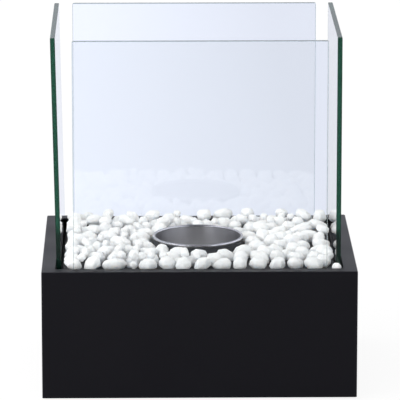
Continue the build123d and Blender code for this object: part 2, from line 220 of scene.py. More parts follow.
def spun_stainless_steel(colour, scratch_mm, bead_from, bead_to):
    """Grade 304 stainless sheet, spun into a cup on a lathe and brushed while it turned.

    The brush leaves fine rings round the axis, which streak each highlight across them. Rolling
    the rim over smooths it, so its bead, between the two heights, is brighter and sharper.
    """
    material, tree, output, place = new_material("spun_stainless_steel")
    axes = add_node(tree, "ShaderNodeSeparateXYZ", {0: place})
    flat = add_node(tree, "ShaderNodeCombineXYZ", {0: axes.outputs["X"], 1: axes.outputs["Y"]})
    radius = add_node(tree, "ShaderNodeVectorMath", {0: flat.outputs[0]}, operation="LENGTH")
    rings = add_node(tree, "ShaderNodeCombineXYZ", {0: radius.outputs["Value"], 1: axes.outputs["Z"]})
    # Real brush lines are about 0.05 mm apart. These are coarser, so that they show in the picture.
    brush = add_node(
        tree,
        "ShaderNodeTexNoise",
        {"Vector": rings.outputs[0], "Scale": per_metre(scratch_mm), "Detail": 4.0, "Roughness": 0.7},
    )
    smudge = add_node(tree, "ShaderNodeTexNoise", {"Vector": place, "Scale": per_metre(14.0), "Detail": 2.0})
    wear = add_node(
        tree, "ShaderNodeMath", {0: brush.outputs["Fac"], 1: smudge.outputs["Fac"]}, operation="MULTIPLY"
    )
    polish = add_node(
        tree,
        "ShaderNodeMapRange",
        {"Value": wear.outputs[0], "From Min": 0.1, "From Max": 0.45, "To Min": 0.27, "To Max": 0.4},
    )
    rolled = add_node(
        tree,
        "ShaderNodeMapRange",
        {
            "Value": axes.outputs["Z"],
            "From Min": bead_from,
            "From Max": bead_to,
            "To Min": 1.0,
            "To Max": 0.45,
        },
    )
    roughness = add_node(
        tree,
        "ShaderNodeMath",
        {0: polish.outputs["Result"], 1: rolled.outputs["Result"]},
        operation="MULTIPLY",
    )
    tone = add_node(
        tree,
        "ShaderNodeMix",
        {"Factor": brush.outputs["Fac"], 6: colour, 7: toned(colour, 0.86)},
        data_type="RGBA",
    )
    relief = add_node(
        tree, "ShaderNodeBump", {"Height": brush.outputs["Fac"], "Strength": 0.12, "Distance": 0.05 * MM}
    )
    round_axis = add_node(tree, "ShaderNodeTangent", direction_type="RADIAL", axis="Z")
    steel = add_node(
        tree,
        "ShaderNodeBsdfPrincipled",
        {
            "Base Color": tone.outputs[2],
            "Metallic": 1.0,
            "Roughness": roughness.outputs[0],
            "Anisotropic": 0.85,
            # A quarter turn, as the brush lines run along the tangent and light spreads across them
            "Anisotropic Rotation": 0.25,
            "Tangent": round_axis.outputs["Tangent"],
            "Normal": relief.outputs["Normal"],
        },
    )
    tree.links.new(steel.outputs["BSDF"], output.inputs["Surface"])
    return material


def ceramic_fibre_felt(colour, fibre_mm):
    """Needled alumina-silica fibre blanket: a matt white felt with tangled fibres and soft hollows."""
    material, tree, output, place = new_material("ceramic_fibre_felt")
    fibres = add_node(
        tree,
        "ShaderNodeTexNoise",
        {"Vector": place, "Scale": per_metre(fibre_mm), "Detail": 6.0, "Roughness": 0.7, "Distortion": 1.5},
    )
    hollows = add_node(tree, "ShaderNodeTexVoronoi", {"Vector": place, "Scale": per_metre(4.0)})
    tone = add_node(
        tree,
        "ShaderNodeMix",
        {"Factor": fibres.outputs["Fac"], 6: toned(colour, 0.75), 7: colour},
        data_type="RGBA",
    )
    height = add_node(
        tree, "ShaderNodeMath", {0: fibres.outputs["Fac"], 1: hollows.outputs["Distance"]}, operation="ADD"
    )
    relief = add_node(
        tree, "ShaderNodeBump", {"Height": height.outputs[0], "Strength": 0.8, "Distance": 0.5 * MM}
    )
    felt = add_node(
        tree,
        "ShaderNodeBsdfPrincipled",
        {
            "Base Color": tone.outputs[2],
            "Roughness": 0.95,
            "Sheen Weight": 0.3,
            "Normal": relief.outputs["Normal"],
        },
    )
    tree.links.new(felt.outputs["BSDF"], output.inputs["Surface"])
    return material


def float_glass(name, across, edge_tint, edge_scatter, colours):
    """Clear soda-lime float glass, cut to size, with its edges ground and polished.

    Iron in the glass takes out red light, so the long way to an edge looks bottle green, while the
    way across is nearly clear. The polished edges still scatter a small share of the light, in
    edge_scatter's colour. The foot, which stands in the rubber, is only ground, and it is painted
    near black: painted shade for the dark slot that it stands in.
    """
    foot_slope = -0.5
    face_slope = 0.9
    scattered_share = 0.12
    iron_density = 6.0
    material, tree, output, place = new_material(name)
    geometry = add_node(tree, "ShaderNodeNewGeometry")
    normal = geometry.outputs["Normal"]
    # The normal turns round for a ray that is inside the glass
    turned = add_node(
        tree, "ShaderNodeMath", {0: geometry.outputs["Backfacing"], 1: -2.0, 2: 1.0}, operation="MULTIPLY_ADD"
    )
    outward = add_node(
        tree, "ShaderNodeVectorMath", {0: normal, "Scale": turned.outputs[0]}, operation="SCALE"
    )
    tilt = add_node(tree, "ShaderNodeSeparateXYZ", {0: outward.outputs[0]})
    # The foot faces down, and the edges face away from the way across the pane
    on_foot = add_node(tree, "ShaderNodeMath", {0: tilt.outputs["Z"], 1: foot_slope}, operation="LESS_THAN")
    facing = add_node(tree, "ShaderNodeVectorMath", {0: normal, 1: across}, operation="DOT_PRODUCT")
    breadth = add_node(tree, "ShaderNodeMath", {0: facing.outputs["Value"]}, operation="ABSOLUTE")
    on_edge = add_node(tree, "ShaderNodeMath", {0: breadth.outputs[0], 1: face_slope}, operation="LESS_THAN")
    grinding = add_node(tree, "ShaderNodeTexNoise", {"Vector": place, "Scale": per_metre(1.2), "Detail": 3.0})
    haze = add_node(
        tree,
        "ShaderNodeMapRange",
        {"Value": grinding.outputs["Fac"], "From Min": 0.3, "From Max": 0.7, "To Min": 0.18, "To Max": 0.24},
    )
    roughness = add_node(
        tree, "ShaderNodeMath", {0: haze.outputs["Result"], 1: on_edge.outputs[0]}, operation="MULTIPLY"
    )
    tint = add_node(
        tree,
        "ShaderNodeMix",
        {"Factor": on_edge.outputs[0], 6: colours.glass_face, 7: edge_tint},
        data_type="RGBA",
    )
    glass = add_node(
        tree,
        "ShaderNodeBsdfPrincipled",
        {
            "Base Color": tint.outputs[2],
            "Roughness": roughness.outputs[0],
            "IOR": 1.52,
            # It mirrors less than real glass, as the photograph shows no image of the cup in it
            "Specular IOR Level": 0.3,
            "Transmission Weight": 1.0,
        },
    )
    scatter = add_node(tree, "ShaderNodeBsdfDiffuse", {"Color": edge_scatter})
    scattered = add_node(
        tree, "ShaderNodeMath", {0: on_edge.outputs[0], 1: scattered_share}, operation="MULTIPLY"
    )
    cut = add_node(
        tree,
        "ShaderNodeMixShader",
        {0: scattered.outputs[0], 1: glass.outputs["BSDF"], 2: scatter.outputs["BSDF"]},
    )
    # The near-black foot is painted shade for the dark slot in the gasket that it stands in
    ground = add_node(tree, "ShaderNodeBsdfDiffuse", {"Color": colours.glass_foot_shade})
    solid = add_node(
        tree, "ShaderNodeMixShader", {0: on_foot.outputs[0], 1: cut.outputs[0], 2: ground.outputs["BSDF"]}
    )
    # Lamps reach what is behind the panes, as light goes through them with little loss
    lamp_ray = add_node(tree, "ShaderNodeLightPath").outputs["Is Shadow Ray"]
    clear = add_node(tree, "ShaderNodeBsdfTransparent", {"Color": colours.glass_shadow})
    surface = add_node(
        tree, "ShaderNodeMixShader", {0: lamp_ray, 1: solid.outputs[0], 2: clear.outputs["BSDF"]}
    )
    iron = add_node(
        tree, "ShaderNodeVolumeAbsorption", {"Color": colours.glass_body, "Density": iron_density}
    )
    tree.links.new(surface.outputs[0], output.inputs["Surface"])
    tree.links.new(iron.outputs[0], output.inputs["Volume"])
    return material


def tumbled_marble(colours):
    """White marble pebbles, tumbled with sand until round: matt, with faint grey veins.

    Light sinks a few millimetres into marble and comes out again beside, which softens the shading.
    Each stone has its own shade, and fine pits dull the surface.
    """
    vein_bend = 12 * MM
    halfway = 0.5
    material, tree, output, place = new_material("tumbled_marble")
    shade = add_node(tree, "ShaderNodeAttribute", attribute_name="stone_shade").outputs["Fac"]
    bend = add_node(tree, "ShaderNodeTexNoise", {"Vector": place, "Scale": per_metre(9.0), "Detail": 4.0})
    bent = add_node(
        tree,
        "ShaderNodeVectorMath",
        {0: bend.outputs["Color"], 1: (vein_bend, vein_bend, vein_bend), 2: place},
        operation="MULTIPLY_ADD",
    )
    veins = add_node(
        tree, "ShaderNodeTexNoise", {"Vector": bent.outputs[0], "Scale": per_metre(7.0), "Detail": 5.0}
    )
    ridge = add_node(
        tree,
        "ShaderNodeMapRange",
        {"Value": veins.outputs["Fac"], "From Min": 0.47, "From Max": 0.53, "To Min": 0.0, "To Max": 1.0},
        interpolation_type="SMOOTHSTEP",
    )
    # A vein runs where the noise is halfway, and fades to both sides
    crest = add_node(tree, "ShaderNodeMath", {0: ridge.outputs["Result"], 1: halfway}, operation="SUBTRACT")
    away = add_node(tree, "ShaderNodeMath", {0: crest.outputs[0]}, operation="ABSOLUTE")
    vein = add_node(
        tree,
        "ShaderNodeMapRange",
        {"Value": away.outputs[0], "From Min": 0.0, "From Max": halfway, "To Min": 0.35, "To Max": 0.0},
    )
    body = add_node(
        tree,
        "ShaderNodeMix",
        {"Factor": shade, 6: colours.marble_light, 7: colours.marble_dull},
        data_type="RGBA",
    )
    veined = add_node(
        tree,
        "ShaderNodeMix",
        {"Factor": vein.outputs["Result"], 6: body.outputs[2], 7: colours.marble_vein},
        data_type="RGBA",
    )
    pits = add_node(tree, "ShaderNodeTexNoise", {"Vector": place, "Scale": per_metre(0.9), "Detail": 4.0})
    relief = add_node(
        tree, "ShaderNodeBump", {"Height": pits.outputs["Fac"], "Strength": 0.35, "Distance": 0.2 * MM}
    )
    dullness = add_node(
        tree, "ShaderNodeMapRange", {"Value": pits.outputs["Fac"], "To Min": 0.5, "To Max": 0.75}
    )
    marble = add_node(
        tree,
        "ShaderNodeBsdfPrincipled",
        {
            "Base Color": veined.outputs[2],
            "Roughness": dullness.outputs["Result"],
            "Specular IOR Level": 0.35,
            "Subsurface Weight": 1.0,
            "Subsurface Radius": (0.9, 0.95, 1.0),
            "Subsurface Scale": 8.0 * MM,
            "Normal": relief.outputs["Normal"],
        },
    )
    tree.links.new(marble.outputs["BSDF"], output.inputs["Surface"])
    return material


# ---- Shapes ----


def in_scene(name, data):
    """An object for a mesh, a lamp or a camera, linked to the scene."""
    item = bpy.data.objects.new(name, data)
    bpy.context.scene.collection.objects.link(item)
    return item


def smooth_piece(name, mesh, material):
    """An object from a finished bmesh, which it frees."""
    data = bpy.data.meshes.new(name)
    mesh.to_mesh(data)
    mesh.free()
    data.shade_smooth()
    data.materials.append(material)
    return in_scene(name, data)


def lumps(spot, width):
    """Smooth noise from 0 to 1, whose lumps are this wide."""
    return 0.5 + 0.5 * noise.noise(spot / width)


def loose_stones(node_name):
    """Each stone of a CAD node: its middle, its faces' outward directions and how far off they lie."""
    mesh = bmesh.new()
    mesh.from_mesh(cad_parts[node_name].data)
    bmesh.ops.remove_doubles(mesh, verts=mesh.verts, dist=0.001 * MM)
    mesh.verts.index_update()
    mesh.faces.index_update()
    left = set(mesh.verts)
    stones = []
    while left:
        reached = [left.pop()]
        for vertex in reached:
            for edge in vertex.link_edges:
                other = edge.other_vert(vertex)
                if other in left:
                    left.remove(other)
                    reached.append(other)
        # A set has no fixed order, so both lists are sorted to give the same stone on each run
        reached.sort(key=lambda vertex: vertex.index)
        touched = {face for vertex in reached for face in vertex.link_faces}
        faces = sorted(touched, key=lambda face: face.index)
        corners = np.array([vertex.co for vertex in reached])
        middle = corners.mean(axis=0)
        normals = np.array([face.normal for face in faces])
        reaches = np.array([np.dot(face.verts[0].co - Vector(middle), face.normal) for face in faces])
        outward = np.sign(reaches)
        stones.append((middle, normals * outward[:, None], reaches * outward))
    mesh.free()
    return sorted(stones, key=lambda stone: tuple(stone[0]))


def tumbled_shape(directions, normals, reaches, roundness):
    """How far a tumbled stone reaches along each direction: its flat faces, worn into each other.

    The worn stone touches its flat faces from inside, so it never leaves the CAD stone.
    """
    slopes = np.maximum(directions @ (normals / reaches[:, None]).T, 0.0)
    radii = (slopes**roundness).sum(axis=1) ** (-1.0 / roundness)
    supports = (radii[:, None] * (directions @ normals.T)).max(axis=0)
    return radii * (reaches / supports).min()


def gap_chips(sizes):
    """Small chips that lie in the hollows between the pebbles, dropped there from above.

    Gives their middles, by the CAD node whose stone is nearest. None is dropped near the cup or at
    the front right, where the photograph shows larger stones and the deck.
    """
    corners, faces = [], []
    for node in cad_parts.values():
        start = len(corners)
        corners += [vertex.co for vertex in node.data.vertices]
        faces += [[start + corner for corner in face.vertices] for face in node.data.polygons]
    solids = BVHTree.FromPolygons(corners, faces)
    stones = [(Vector(stone[0]), name) for name in STONES_PER_SIDE for stone in loose_stones(name)]
    ceiling = max(middle.z for middle, name in stones) + sizes.chip_radius
    step = 0.25 * MM
    drops = []
    for x in np.arange(-sizes.chip_reach_x, sizes.chip_reach_x, sizes.chip_pitch):
        for y in np.arange(-sizes.chip_reach_y, sizes.chip_reach_y, sizes.chip_pitch):
            spot = Vector((x, y, ceiling))
            if spot.xy.length < sizes.chip_cup_gap or (x > 0 and y < sizes.chip_back):
                continue
            while solids.find_nearest(spot)[3] > sizes.chip_radius + step:
                spot.z -= step
            drops.append(spot)
    chips = {name: [] for name in STONES_PER_SIDE}
    taken = []
    for spot in sorted(drops, key=lambda drop: drop.z):
        if spot.z > ceiling - sizes.chip_depth:
            break
        if all((spot - other).length > 2 * sizes.chip_radius for other in taken):
            taken.append(spot)
            nearest = min(stones, key=lambda stone: (stone[0] - spot).length)[1]
            chips[nearest].append(np.array(spot))
    return chips


def chipped_facets(draw, radius, count=16, shift=0.2, nearest=0.78):
    """The flat faces of a small chip, as outward directions and how far off they lie.

    The directions are spread evenly over a ball and then shifted a little, so they close on every
    side. The faces lie between the nearest share of the radius and the whole of it.
    """
    heights = 1.0 - (2.0 * np.arange(count) + 1.0) / count
    turns = np.arange(count) * pi * (3.0 - 5.0**0.5) + draw.uniform(0.0, 2.0 * pi)
    rings = np.sqrt(1.0 - heights**2)
    normals = np.stack([rings * np.cos(turns), rings * np.sin(turns), heights], axis=1)
    normals += draw.uniform(-shift, shift, (count, 3))
    normals /= np.linalg.norm(normals, axis=1)[:, None]
    return normals, radius * draw.uniform(nearest, 1.0, count)


def tumbled_pebbles(node_name, piece_name, chips, sizes, material):
    """A group of pebbles as smooth, worn stones in the places of the CAD ones, and its chips."""
    mesh = bmesh.new()
    shade = mesh.verts.layers.float.new("stone_shade")
    stones = loose_stones(node_name)
    draw = np.random.default_rng(sizes.chip_seed)
    stones += [(middle, *chipped_facets(draw, sizes.chip_radius)) for middle in chips]
    for middle, normals, reaches in stones:
        made = bmesh.ops.create_icosphere(mesh, subdivisions=sizes.stone_detail, radius=1.0)["verts"]
        directions = np.array([vertex.co.normalized() for vertex in made])
        radii = tumbled_shape(directions, normals, reaches, sizes.stone_roundness)
        tone = lumps(Vector(middle), sizes.shade_width)
        for vertex, direction, radius in zip(made, directions, radii):
            spot = Vector(middle + direction * radius)
            nick = abs(noise.noise(spot / sizes.nick_width))
            dent = sizes.lump_height * lumps(spot, sizes.lump_width) + sizes.nick_height * nick
            vertex.co = spot - Vector(direction) * dent
            vertex[shade] = tone
    piece = smooth_piece(piece_name, mesh, material)
    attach(piece, "base")
    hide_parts(node_name)


def fibre_pad(sizes, material):
    """The absorbent pad: a thick disc of felt whose top is uneven and whose edges are worn round."""
    top_rings = 12
    turns = 72
    low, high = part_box("absorbent_pad")
    radius = (high.x - low.x) / 2
    edge = sizes.pad_edge
    foot = sizes.pad_foot_edge
    profile = [(0.0, low.z), (0.5 * (radius - foot), low.z), (radius - foot, low.z)]
    profile += [(radius, low.z + foot), (radius, (low.z + high.z) / 2), (radius, high.z - edge)]
    for angle in (pi / 6, pi / 3, pi / 2):
        profile.append((radius - edge * (1 - cos(angle)), high.z - edge * (1 - sin(angle))))
    profile += [((radius - edge) * (1 - ring / top_rings), high.z) for ring in range(1, top_rings + 1)]
    mesh = bmesh.new()
    rows = []
    for reach, z in profile:
        row = []
        for turn in range(turns if reach > 0 else 1):
            angle = 2 * pi * turn / turns
            spot = Vector((reach * cos(angle), reach * sin(angle), z))
            sink = sizes.felt_lump_height * lumps(spot, sizes.felt_lump_width)
            inward = Vector((-cos(angle), -sin(angle), 0)) if 0 < reach == radius else Vector((0, 0, -1))
            row.append(mesh.verts.new(spot + inward * sink if z > low.z else spot))
        rows.append(row)
    for lower, upper in zip(rows, rows[1:]):
        for turn in range(turns):
            corners = [
                lower[turn % len(lower)],
                lower[(turn + 1) % len(lower)],
                upper[(turn + 1) % len(upper)],
                upper[turn % len(upper)],
            ]
            mesh.faces.new(list(dict.fromkeys(corners)))
    piece = smooth_piece("fibre_pad", mesh, material)
    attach(piece, "burner")
    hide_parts("absorbent_pad")


# ---- Studio ----

ONE_BOUNCE = 0.5  # Between the depths 0 and 1 of a ray, so it tells whether the ray has bounced
LAMP_AIM = Vector((0.0, 0.0, 0.12))  # At the height of the highest stones, in the middle
DAYLIGHT_FADE = (0.92, 0.39, 0.0)  # Towards the back right, where the daylight is weakest


def mirror_ray(tree):
    """One for a ray that a glossy surface has sent back, also when it goes on through glass."""
    depth = add_node(tree, "ShaderNodeLightPath").outputs["Glossy Depth"]
    mirrored = add_node(tree, "ShaderNodeMath", {0: depth, 1: ONE_BOUNCE}, operation="GREATER_THAN")
    return mirrored.outputs[0]


def studio_white(tree, place, studio, dim_until, white_from):
    """The studio's white as it is seen: plain to the camera, with the room's own shades elsewhere.

    Through glass and in reflections the white is cooler, and fades from left to right. Reflections
    also dim towards the front: they are dimmest before dim_until and whitest behind white_from.
    Gives that colour, its strength and the share of rays that see it.
    """
    path = add_node(tree, "ShaderNodeLightPath")
    axes = add_node(tree, "ShaderNodeSeparateXYZ", {0: place})
    direct = path.outputs["Is Camera Ray"]
    indirect = add_node(
        tree,
        "ShaderNodeMath",
        {0: path.outputs["Is Glossy Ray"], 1: path.outputs["Is Transmission Ray"]},
        operation="MAXIMUM",
    )
    mirrored = mirror_ray(tree)
    # A matt surface gathers the room's daylight instead, also through the panes
    looking = add_node(
        tree, "ShaderNodeMath", {0: path.outputs["Diffuse Depth"], 1: ONE_BOUNCE}, operation="LESS_THAN"
    )
    looked_at = add_node(
        tree, "ShaderNodeMath", {0: indirect.outputs[0], 1: looking.outputs[0]}, operation="MULTIPLY"
    )
    seen = add_node(tree, "ShaderNodeMath", {0: direct, 1: looked_at.outputs[0]}, operation="MAXIMUM")
    plain = add_node(
        tree, "ShaderNodeMath", {0: mirrored, 1: studio.mirror_plainness, 2: direct}, operation="MULTIPLY_ADD"
    )
    colour = add_node(
        tree,
        "ShaderNodeMix",
        {"Factor": plain.outputs[0], 6: studio.shade_colour, 7: WHITE},
        data_type="RGBA",
    )
    across = add_node(
        tree,
        "ShaderNodeMapRange",
        {
            "Value": axes.outputs["X"],
            "From Min": -studio.shade_reach,
            "From Max": studio.shade_reach,
            "To Min": studio.shade_left,
            "To Max": studio.shade_right,
        },
    )
    along = add_node(
        tree,
        "ShaderNodeMapRange",
        {
            "Value": axes.outputs["Y"],
            "From Min": dim_until,
            "From Max": white_from,
            "To Min": studio.front_dimness,
            "To Max": studio.back_whiteness,
        },
        interpolation_type="SMOOTHSTEP",
    )
    reflected = add_node(
        tree, "ShaderNodeMath", {0: across.outputs[0], 1: along.outputs[0]}, operation="MULTIPLY"
    )
    shaded = add_node(
        tree,
        "ShaderNodeMix",
        {"Factor": mirrored, 2: across.outputs[0], 3: reflected.outputs[0]},
        data_type="FLOAT",
    )
    strength = add_node(
        tree, "ShaderNodeMix", {"Factor": direct, 2: shaded.outputs[0], 3: 1.0}, data_type="FLOAT"
    )
    return colour.outputs[2], strength.outputs[0], seen.outputs[0]


def pale_floor(studio):
    """A plain white floor that keeps a soft shadow of the object."""
    data = bpy.data.meshes.new("studio_floor")
    reach = 12.0
    corners = [(x * reach, y * reach, 0) for x, y in ((-1, -1), (1, -1), (1, 1), (-1, 1))]
    data.from_pydata(corners, [], [(0, 1, 2, 3)])
    material, tree, output, place = new_material("white_studio_floor")
    grain = add_node(tree, "ShaderNodeTexNoise", {"Vector": place, "Scale": per_metre(120.0)})
    tone = add_node(
        tree,
        "ShaderNodeMix",
        {"Factor": grain.outputs["Fac"], 6: linear("#f3f3f3"), 7: linear("#f7f7f7")},
        data_type="RGBA",
    )
    matt = add_node(tree, "ShaderNodeBsdfDiffuse", {"Color": tone.outputs[2]})
    colour, strength, seen = studio_white(tree, place, studio, dim_until=-0.2, white_from=0.5)
    white = add_node(tree, "ShaderNodeEmission", {"Color": colour, "Strength": strength})
    share = add_node(tree, "ShaderNodeMath", {0: seen, 1: studio.floor_white}, operation="MULTIPLY")
    surface = add_node(
        tree, "ShaderNodeMixShader", {0: share.outputs[0], 1: matt.outputs[0], 2: white.outputs[0]}
    )
    tree.links.new(surface.outputs[0], output.inputs["Surface"])
    data.materials.append(material)
    in_scene("studio_floor", data)


def soft_box(name, place, size, power):
    """A square area lamp that faces the stones. Neither the camera nor a reflection shows it."""
    data = bpy.data.lights.new(name, "AREA")
    data.shape = "SQUARE"
    data.size = size
    data.energy = power
    lamp = in_scene(name, data)
    lamp.location = place
    lamp.rotation_euler = (LAMP_AIM - lamp.location).to_track_quat("-Z", "Y").to_euler()
    lamp.visible_camera = False
    lamp.visible_glossy = False


def room_light(studio):
    """Daylight from all round, strongest from the front left, with a white wall where it is seen.

    What is seen directly, through glass or in a reflection is the wall instead of the daylight.
    """
    world = bpy.data.worlds.new("studio_room")
    bpy.context.scene.world = world
    world.use_nodes = True
    tree = world.node_tree
    tree.nodes.clear()
    direction = add_node(tree, "ShaderNodeTexCoord").outputs["Generated"]
    colour, strength, seen = studio_white(tree, direction, studio, dim_until=-0.3, white_from=0.4)
    side = add_node(tree, "ShaderNodeSeparateXYZ", {0: direction})
    # Reflections show a bright wall at either side of the room, brighter at the right
    aside = add_node(tree, "ShaderNodeMath", {0: side.outputs["X"]}, operation="ABSOLUTE")
    walls = add_node(
        tree,
        "ShaderNodeMapRange",
        {
            "Value": aside.outputs[0],
            "From Min": 0.3,
            "From Max": 0.6,
            "To Min": 0.0,
            "To Max": studio.side_whiteness,
        },
        interpolation_type="SMOOTHSTEP",
    )
    sided = add_node(
        tree,
        "ShaderNodeMapRange",
        {
            "Value": side.outputs["X"],
            "From Min": -0.4,
            "From Max": 0.4,
            "To Min": studio.left_share,
            "To Max": studio.right_share,
        },
    )
    walls_seen = add_node(
        tree, "ShaderNodeMath", {0: walls.outputs["Result"], 1: sided.outputs["Result"]}, operation="MULTIPLY"
    )
    mirrored = add_node(
        tree, "ShaderNodeMath", {0: walls_seen.outputs[0], 1: mirror_ray(tree)}, operation="MULTIPLY"
    )
    shaped = add_node(tree, "ShaderNodeMath", {0: strength, 1: mirrored.outputs[0]}, operation="MAXIMUM")
    wall = add_node(tree, "ShaderNodeBackground", {"Color": colour, "Strength": shaped.outputs[0]})
    away = add_node(tree, "ShaderNodeVectorMath", {0: direction, 1: DAYLIGHT_FADE}, operation="DOT_PRODUCT")
    daylight = add_node(
        tree,
        "ShaderNodeMapRange",
        {
            "Value": away.outputs["Value"],
            "From Min": -1.0,
            "From Max": 1.0,
            "To Min": studio.sky_left,
            "To Max": studio.sky_right,
        },
    )
    soft = add_node(tree, "ShaderNodeBackground", {"Color": WHITE, "Strength": daylight.outputs["Result"]})
    room = add_node(tree, "ShaderNodeMixShader", {0: seen, 1: soft.outputs[0], 2: wall.outputs[0]})
    output = add_node(tree, "ShaderNodeOutputWorld")
    tree.links.new(room.outputs[0], output.inputs["Surface"])


def camera(studio):
    """A long lens at the photograph's viewing angle."""
    data = bpy.data.cameras.new("studio_camera")
    data.lens = studio.camera_lens
    data.sensor_width = 36.0
    data.clip_end = 50.0
    eye = in_scene("studio_camera", data)
    level = cos(studio.camera_elevation)
    back = Vector(
        (
            sin(studio.camera_azimuth) * level,
            -cos(studio.camera_azimuth) * level,
            sin(studio.camera_elevation),
        )
    )
    eye.location = Vector(studio.camera_aim) + back * studio.camera_distance
    eye.rotation_euler = (-back).to_track_quat("-Z", "Y").to_euler()
    bpy.context.scene.camera = eye


# ---- Settings ----


def colour_setting(name, description, hex_colour):
    """A colour that a user can pick, whose default is an sRGB hex value."""
    return bpy.props.FloatVectorProperty(
        name=name, description=description, subtype="COLOR", size=4, default=linear(hex_colour)
    )


class FireplaceColours(bpy.types.PropertyGroup):
    """Colours of the finishes"""

    powder_coat: colour_setting("Powder coat", "Colour of the black coat", "#0b0a10")
    # A lighter, bluer copy of the black coat: painted light for the light that the collar reflects from the
    # stones
    lit_collar_coat: colour_setting("Collar coat", "Colour of the collar's coat", "#272a2f")
    galvanised: colour_setting("Galvanised steel", "Colour of the zinc crystals", "#b9bdc0")
    screw: colour_setting("Screw plating", "Colour of the zinc plate", "#c9ccce")
    rubber: colour_setting("Foot rubber", "Colour of the feet", "#161616")
    gasket: colour_setting("Gasket rubber", "Colour of the glass gaskets", "#131314")
    stainless: colour_setting("Stainless steel", "Colour of the burner cup", "#bcbbc0")
    felt: colour_setting("Ceramic felt", "Colour of the pad", "#c8c6c2")
    glass_face: colour_setting("Glass face", "Tint of light through a broad face", "#ffffff")
    glass_edge: colour_setting("Glass edge", "Tint of light through the side panes' edges", "#27634b")
    glass_end_edge: colour_setting("End pane edge", "Tint of light through the end panes' edges", "#a9b6c0")
    edge_scatter: colour_setting("Glass edge scatter", "Light that the side panes' edges scatter", "#1b4a3c")
    end_scatter: colour_setting("End pane edge scatter", "Light that the end panes' edges scatter", "#90a9a2")
    # The foot's near-black colour is painted shade for the dark slot in the gasket
    glass_foot_shade: colour_setting("Glass foot", "Colour of the ground edge in the gasket", "#0c1413")
    glass_body: colour_setting("Glass body", "Colour that the iron in the glass leaves", "#88d2c4")
    glass_shadow: colour_setting("Glass shadow", "Lamp light that gets through a face", "#fafafc")
    marble_light: colour_setting("Marble, lightest", "Colour of the whitest stones", "#f9fafd")
    marble_dull: colour_setting("Marble, dullest", "Colour of the greyest stones", "#f0f1f5")
    marble_vein: colour_setting("Marble veins", "Colour of the veins", "#d6d7dd")


class FireplaceSizes(bpy.types.PropertyGroup):
    """Sizes of the finishes, of the stones' wear and of the chips between the stones"""

    coat_grain: bpy.props.FloatProperty(
        name="Orange peel", description="Width of a ripple in the powder coat, in millimetres", default=0.9
    )
    brush_line: bpy.props.FloatProperty(
        name="Brush line", description="Width of a brush line on the cup, in millimetres", default=0.5
    )
    rim_bead: bpy.props.FloatProperty(
        name="Rim bead", description="Height of the cup's rolled rim", default=2.5 * MM, unit="LENGTH"
    )
    felt_fibre: bpy.props.FloatProperty(
        name="Felt fibre", description="Width of a tangle of fibres, in millimetres", default=1.2
    )
    felt_lump_width: bpy.props.FloatProperty(
        name="Felt lump", description="Width of the pad's lumps", default=9 * MM, unit="LENGTH"
    )
    felt_lump_height: bpy.props.FloatProperty(
        name="Felt lump height", description="Depth of the pad's hollows", default=0.9 * MM, unit="LENGTH"
    )
    pad_edge: bpy.props.FloatProperty(
        name="Pad edge", description="Wear round the pad's top edge", default=1.6 * MM, unit="LENGTH"
    )
    pad_foot_edge: bpy.props.FloatProperty(
        name="Pad foot edge", description="Bevel under the pad", default=5 * MM, unit="LENGTH"
    )
    stone_detail: bpy.props.IntProperty(
        name="Stone detail", description="How finely each stone is divided", default=4, min=2, max=5
    )
    stone_roundness: bpy.props.FloatProperty(
        name="Stone roundness", description="Sharper edges at a higher value", default=70.0, min=4.0
    )
    lump_width: bpy.props.FloatProperty(
        name="Stone lump", description="Width of the stones' lumps", default=6 * MM, unit="LENGTH"
    )
    lump_height: bpy.props.FloatProperty(
        name="Stone lump height", description="Depth of the stones' hollows", default=0.5 * MM, unit="LENGTH"
    )
    nick_width: bpy.props.FloatProperty(
        name="Stone nick", description="Width of the nicks in the stones", default=3.5 * MM, unit="LENGTH"
    )
    nick_height: bpy.props.FloatProperty(
        name="Stone nick height", description="Depth of the nicks", default=0.6 * MM, unit="LENGTH"
    )
    shade_width: bpy.props.FloatProperty(
        name="Stone shade", description="Distance over which shades change", default=7.3 * MM, unit="LENGTH"
    )
    chip_seed: bpy.props.IntProperty(
        name="Chip seed", description="For the shapes of the small chips", default=7
    )
    chip_radius: bpy.props.FloatProperty(
        name="Chip radius", description="Of the chips between the stones", default=3.9 * MM, unit="LENGTH"
    )
    chip_pitch: bpy.props.FloatProperty(
        name="Chip pitch", description="Between the places of the drops", default=2.5 * MM, unit="LENGTH"
    )
    chip_depth: bpy.props.FloatProperty(
        name="Chip depth", description="Least depth under the highest drop", default=4.5 * MM, unit="LENGTH"
    )
    chip_reach_x: bpy.props.FloatProperty(
        name="Chip reach, sideways", description="From the deck's middle", default=102 * MM, unit="LENGTH"
    )
    chip_reach_y: bpy.props.FloatProperty(
        name="Chip reach, to the back", description="From the deck's middle", default=78 * MM, unit="LENGTH"
    )
    chip_back: bpy.props.FloatProperty(
        name="Chip back", description="Chips on the right lie behind this", default=50 * MM, unit="LENGTH"
    )
    chip_cup_gap: bpy.props.FloatProperty(
        name="Chip cup gap", description="Bare radius round the cup", default=54 * MM, unit="LENGTH"
    )


